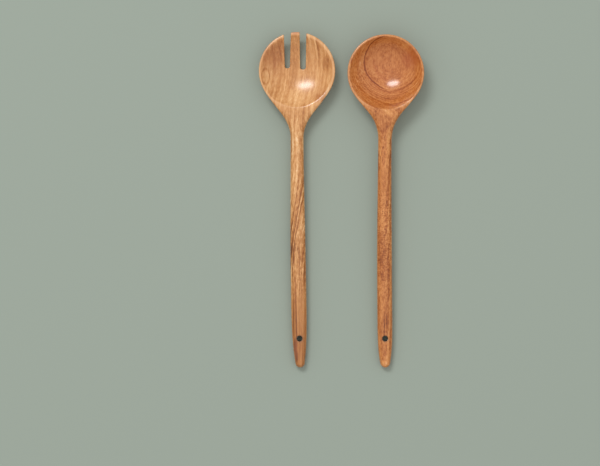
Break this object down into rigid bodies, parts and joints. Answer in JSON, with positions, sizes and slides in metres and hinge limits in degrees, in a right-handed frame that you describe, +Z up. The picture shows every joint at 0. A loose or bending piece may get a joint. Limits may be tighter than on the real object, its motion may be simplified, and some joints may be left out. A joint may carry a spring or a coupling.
{
  "type": "salad servers",
  "caption": "Carved wooden salad servers, a slotted fork with a shallow round head and a deep round spoon, each with a long handle and a hanging hole.",
  "frame": {"origin": "on the table under the middle of the pair, which is the bottom centre of its box", "axes": "+Y along the handles towards the heads, +X from the fork to the spoon, +Z up from the table"},
  "size_m": [0.1498, 0.305, 0.0218],
  "materials": {
    "fork_wood": "golden brown, satin oiled",
    "spoon_wood": "reddish brown, satin oiled"
  },
  "bodies": {
    "salad_fork": {"salad_fork": "fork_wood"},
    "salad_spoon": {"salad_spoon": "spoon_wood"}
  },
  "joints": [
    {"name": "spoon_lift", "type": "slide", "parent": "salad_fork", "child": "salad_spoon", "axis": [0, 0, 1], "range_m": [0, 0.12]}
  ]
}
